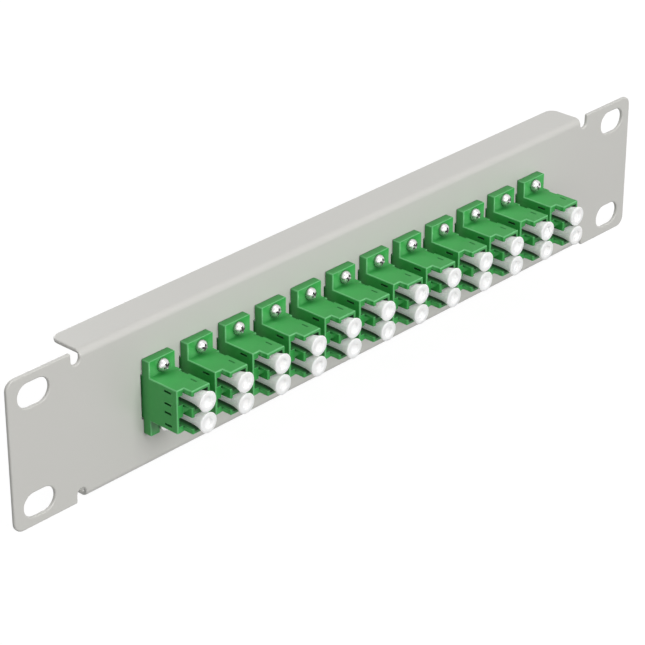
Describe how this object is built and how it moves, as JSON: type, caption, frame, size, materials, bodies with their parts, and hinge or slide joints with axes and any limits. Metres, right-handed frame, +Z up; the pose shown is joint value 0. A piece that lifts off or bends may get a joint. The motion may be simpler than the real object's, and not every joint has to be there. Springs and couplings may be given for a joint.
{
  "type": "fibre patch panel",
  "caption": "Narrow folded-steel rack panel with a row of upright green duplex fibre adapters, each with small screws through its flange and white dust caps in its ports.",
  "frame": {"origin": "centre of the sheet's front face, midway between the four rack slots", "axes": "+X along the panel to the right seen from the front, +Y from the front face to the back, +Z up"},
  "size_m": [0.254, 0.0345, 0.044],
  "materials": {
    "powder_coated_steel": "light grey fine powder coat",
    "green_housing": "satin moulded plastic",
    "white_cap": "soft satin, slightly translucent",
    "plated_screw": "bright zinc plate",
    "white_ceramic": "polished"
  },
  "bodies": {
    "panel_body": {"panel": "powder_coated_steel", "flange_screws_upper": "plated_screw", "flange_screws_lower": "plated_screw", "alignment_sleeves": "white_ceramic", "adapter_01_housing": "green_housing", "adapter_02_housing": "green_housing", "adapter_03_housing": "green_housing", "adapter_04_housing": "green_housing", "adapter_05_housing": "green_housing", "adapter_06_housing": "green_housing", "adapter_07_housing": "green_housing", "adapter_08_housing": "green_housing", "adapter_09_housing": "green_housing", "adapter_10_housing": "green_housing", "adapter_11_housing": "green_housing", "adapter_12_housing": "green_housing"},
    "front_cap_01_upper_body": {"front_cap_01_upper": "white_cap"},
    "front_cap_01_lower_body": {"front_cap_01_lower": "white_cap"},
    "front_cap_02_upper_body": {"front_cap_02_upper": "white_cap"},
    "front_cap_02_lower_body": {"front_cap_02_lower": "white_cap"},
    "front_cap_03_upper_body": {"front_cap_03_upper": "white_cap"},
    "front_cap_03_lower_body": {"front_cap_03_lower": "white_cap"},
    "front_cap_04_upper_body": {"front_cap_04_upper": "white_cap"},
    "front_cap_04_lower_body": {"front_cap_04_lower": "white_cap"},
    "front_cap_05_upper_body": {"front_cap_05_upper": "white_cap"},
    "front_cap_05_lower_body": {"front_cap_05_lower": "white_cap"},
    "front_cap_06_upper_body": {"front_cap_06_upper": "white_cap"},
    "front_cap_06_lower_body": {"front_cap_06_lower": "white_cap"},
    "front_cap_07_upper_body": {"front_cap_07_upper": "white_cap"},
    "front_cap_07_lower_body": {"front_cap_07_lower": "white_cap"},
    "front_cap_08_upper_body": {"front_cap_08_upper": "white_cap"},
    "front_cap_08_lower_body": {"front_cap_08_lower": "white_cap"},
    "front_cap_09_upper_body": {"front_cap_09_upper": "white_cap"},
    "front_cap_09_lower_body": {"front_cap_09_lower": "white_cap"},
    "front_cap_10_upper_body": {"front_cap_10_upper": "white_cap"},
    "front_cap_10_lower_body": {"front_cap_10_lower": "white_cap"},
    "front_cap_11_upper_body": {"front_cap_11_upper": "white_cap"},
    "front_cap_11_lower_body": {"front_cap_11_lower": "white_cap"},
    "front_cap_12_upper_body": {"front_cap_12_upper": "white_cap"},
    "front_cap_12_lower_body": {"front_cap_12_lower": "white_cap"},
    "back_caps_01_body": {"back_caps_01": "white_cap"},
    "back_caps_02_body": {"back_caps_02": "white_cap"},
    "back_caps_03_body": {"back_caps_03": "white_cap"},
    "back_caps_04_body": {"back_caps_04": "white_cap"},
    "back_caps_05_body": {"back_caps_05": "white_cap"},
    "back_caps_06_body": {"back_caps_06": "white_cap"},
    "back_caps_07_body": {"back_caps_07": "white_cap"},
    "back_caps_08_body": {"back_caps_08": "white_cap"},
    "back_caps_09_body": {"back_caps_09": "white_cap"},
    "back_caps_10_body": {"back_caps_10": "white_cap"},
    "back_caps_11_body": {"back_caps_11": "white_cap"},
    "back_caps_12_body": {"back_caps_12": "white_cap"}
  },
  "joints": [
    {"name": "front_cap_01_upper_pull", "type": "slide", "parent": "panel_body", "child": "front_cap_01_upper_body", "axis": [0, -1, 0], "range_m": [0, 0.0125]},
    {"name": "front_cap_01_lower_pull", "type": "slide", "parent": "panel_body", "child": "front_cap_01_lower_body", "axis": [0, -1, 0], "range_m": [0, 0.0125]},
    {"name": "front_cap_02_upper_pull", "type": "slide", "parent": "panel_body", "child": "front_cap_02_upper_body", "axis": [0, -1, 0], "range_m": [0, 0.0125]},
    {"name": "front_cap_02_lower_pull", "type": "slide", "parent": "panel_body", "child": "front_cap_02_lower_body", "axis": [0, -1, 0], "range_m": [0, 0.0125]},
    {"name": "front_cap_03_upper_pull", "type": "slide", "parent": "panel_body", "child": "front_cap_03_upper_body", "axis": [0, -1, 0], "range_m": [0, 0.0125]},
    {"name": "front_cap_03_lower_pull", "type": "slide", "parent": "panel_body", "child": "front_cap_03_lower_body", "axis": [0, -1, 0], "range_m": [0, 0.0125]},
    {"name": "front_cap_04_upper_pull", "type": "slide", "parent": "panel_body", "child": "front_cap_04_upper_body", "axis": [0, -1, 0], "range_m": [0, 0.0125]},
    {"name": "front_cap_04_lower_pull", "type": "slide", "parent": "panel_body", "child": "front_cap_04_lower_body", "axis": [0, -1, 0], "range_m": [0, 0.0125]},
    {"name": "front_cap_05_upper_pull", "type": "slide", "parent": "panel_body", "child": "front_cap_05_upper_body", "axis": [0, -1, 0], "range_m": [0, 0.0125]},
    {"name": "front_cap_05_lower_pull", "type": "slide", "parent": "panel_body", "child": "front_cap_05_lower_body", "axis": [0, -1, 0], "range_m": [0, 0.0125]},
    {"name": "front_cap_06_upper_pull", "type": "slide", "parent": "panel_body", "child": "front_cap_06_upper_body", "axis": [0, -1, 0], "range_m": [0, 0.0125]},
    {"name": "front_cap_06_lower_pull", "type": "slide", "parent": "panel_body", "child": "front_cap_06_lower_body", "axis": [0, -1, 0], "range_m": [0, 0.0125]},
    {"name": "front_cap_07_upper_pull", "type": "slide", "parent": "panel_body", "child": "front_cap_07_upper_body", "axis": [0, -1, 0], "range_m": [0, 0.0125]},
    {"name": "front_cap_07_lower_pull", "type": "slide", "parent": "panel_body", "child": "front_cap_07_lower_body", "axis": [0, -1, 0], "range_m": [0, 0.0125]},
    {"name": "front_cap_08_upper_pull", "type": "slide", "parent": "panel_body", "child": "front_cap_08_upper_body", "axis": [0, -1, 0], "range_m": [0, 0.0125]},
    {"name": "front_cap_08_lower_pull", "type": "slide", "parent": "panel_body", "child": "front_cap_08_lower_body", "axis": [0, -1, 0], "range_m": [0, 0.0125]},
    {"name": "front_cap_09_upper_pull", "type": "slide", "parent": "panel_body", "child": "front_cap_09_upper_body", "axis": [0, -1, 0], "range_m": [0, 0.0125]},
    {"name": "front_cap_09_lower_pull", "type": "slide", "parent": "panel_body", "child": "front_cap_09_lower_body", "axis": [0, -1, 0], "range_m": [0, 0.0125]},
    {"name": "front_cap_10_upper_pull", "type": "slide", "parent": "panel_body", "child": "front_cap_10_upper_body", "axis": [0, -1, 0], "range_m": [0, 0.0125]},
    {"name": "front_cap_10_lower_pull", "type": "slide", "parent": "panel_body", "child": "front_cap_10_lower_body", "axis": [0, -1, 0], "range_m": [0, 0.0125]},
    {"name": "front_cap_11_upper_pull", "type": "slide", "parent": "panel_body", "child": "front_cap_11_upper_body", "axis": [0, -1, 0], "range_m": [0, 0.0125]},
    {"name": "front_cap_11_lower_pull", "type": "slide", "parent": "panel_body", "child": "front_cap_11_lower_body", "axis": [0, -1, 0], "range_m": [0, 0.0125]},
    {"name": "front_cap_12_upper_pull", "type": "slide", "parent": "panel_body", "child": "front_cap_12_upper_body", "axis": [0, -1, 0], "range_m": [0, 0.0125]},
    {"name": "front_cap_12_lower_pull", "type": "slide", "parent": "panel_body", "child": "front_cap_12_lower_body", "axis": [0, -1, 0], "range_m": [0, 0.0125]},
    {"name": "back_caps_01_pull", "type": "slide", "parent": "panel_body", "child": "back_caps_01_body", "axis": [0, 1, 0], "range_m": [0, 0.0125]},
    {"name": "back_caps_02_pull", "type": "slide", "parent": "panel_body", "child": "back_caps_02_body", "axis": [0, 1, 0], "range_m": [0, 0.0125]},
    {"name": "back_caps_03_pull", "type": "slide", "parent": "panel_body", "child": "back_caps_03_body", "axis": [0, 1, 0], "range_m": [0, 0.0125]},
    {"name": "back_caps_04_pull", "type": "slide", "parent": "panel_body", "child": "back_caps_04_body", "axis": [0, 1, 0], "range_m": [0, 0.0125]},
    {"name": "back_caps_05_pull", "type": "slide", "parent": "panel_body", "child": "back_caps_05_body", "axis": [0, 1, 0], "range_m": [0, 0.0125]},
    {"name": "back_caps_06_pull", "type": "slide", "parent": "panel_body", "child": "back_caps_06_body", "axis": [0, 1, 0], "range_m": [0, 0.0125]},
    {"name": "back_caps_07_pull", "type": "slide", "parent": "panel_body", "child": "back_caps_07_body", "axis": [0, 1, 0], "range_m": [0, 0.0125]},
    {"name": "back_caps_08_pull", "type": "slide", "parent": "panel_body", "child": "back_caps_08_body", "axis": [0, 1, 0], "range_m": [0, 0.0125]},
    {"name": "back_caps_09_pull", "type": "slide", "parent": "panel_body", "child": "back_caps_09_body", "axis": [0, 1, 0], "range_m": [0, 0.0125]},
    {"name": "back_caps_10_pull", "type": "slide", "parent": "panel_body", "child": "back_caps_10_body", "axis": [0, 1, 0], "range_m": [0, 0.0125]},
    {"name": "back_caps_11_pull", "type": "slide", "parent": "panel_body", "child": "back_caps_11_body", "axis": [0, 1, 0], "range_m": [0, 0.0125]},
    {"name": "back_caps_12_pull", "type": "slide", "parent": "panel_body", "child": "back_caps_12_body", "axis": [0, 1, 0], "range_m": [0, 0.0125]}
  ]
}
